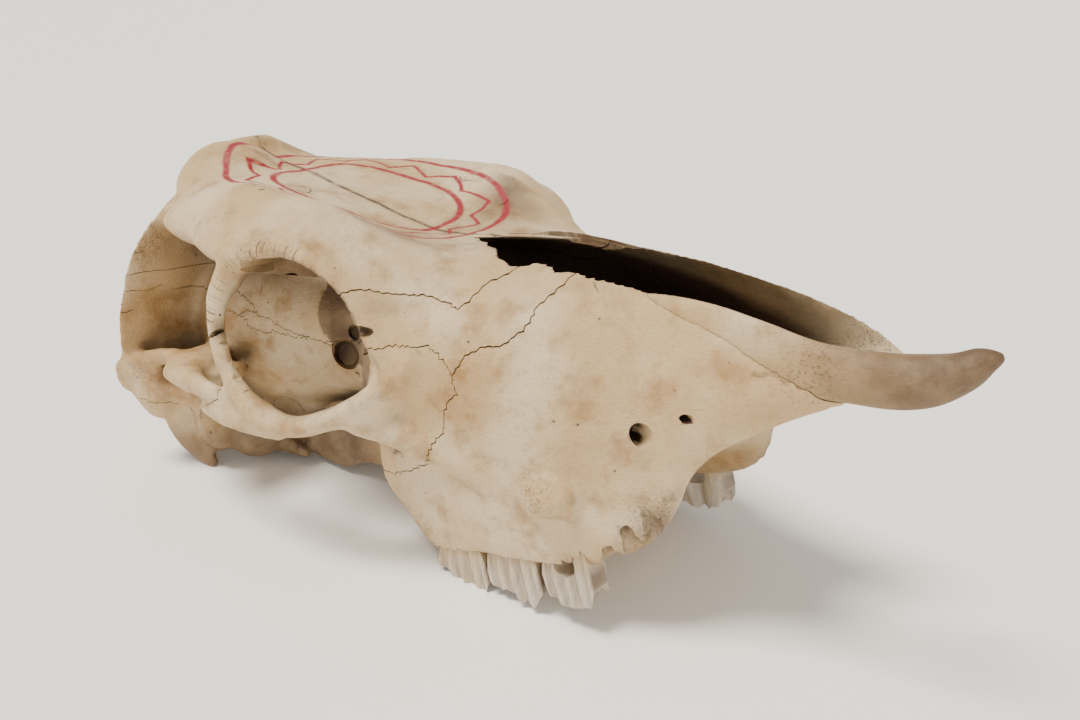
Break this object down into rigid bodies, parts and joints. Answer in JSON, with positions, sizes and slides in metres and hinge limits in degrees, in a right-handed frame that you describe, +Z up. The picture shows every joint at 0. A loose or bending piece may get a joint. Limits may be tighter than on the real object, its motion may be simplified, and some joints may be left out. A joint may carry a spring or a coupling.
{
  "type": "cow skull",
  "caption": "Weathered skull of a young polled cow, as it lies on a table, with its cheek teeth and without its lower jaw and nasal bones.",
  "frame": {"origin": "middle of the skull's box on the surface it rests on", "axes": "+X towards the snout, +Y to the animal's left, +Z up"},
  "size_m": [0.4056, 0.1924, 0.1598],
  "materials": {
    "bone": "dry weathered bone",
    "teeth": "dull enamel"
  },
  "bodies": {
    "root": {"frontal_right": "bone", "frontal_left": "bone", "temporal_right": "bone", "temporal_left": "bone", "lacrimal_right": "bone", "lacrimal_left": "bone", "zygomatic_right": "bone", "zygomatic_left": "bone", "maxilla_right": "bone", "maxilla_left": "bone", "palatine_right": "bone", "palatine_left": "bone", "parietal": "bone", "occipital": "bone", "sphenoid": "bone", "premaxilla_right": "bone", "tooth_dp4_right": "teeth", "tooth_dp4_left": "teeth", "tooth_m1_right": "teeth", "tooth_m1_left": "teeth", "tooth_m2_right": "teeth", "tooth_m2_left": "teeth"}
  },
  "joints": []
}
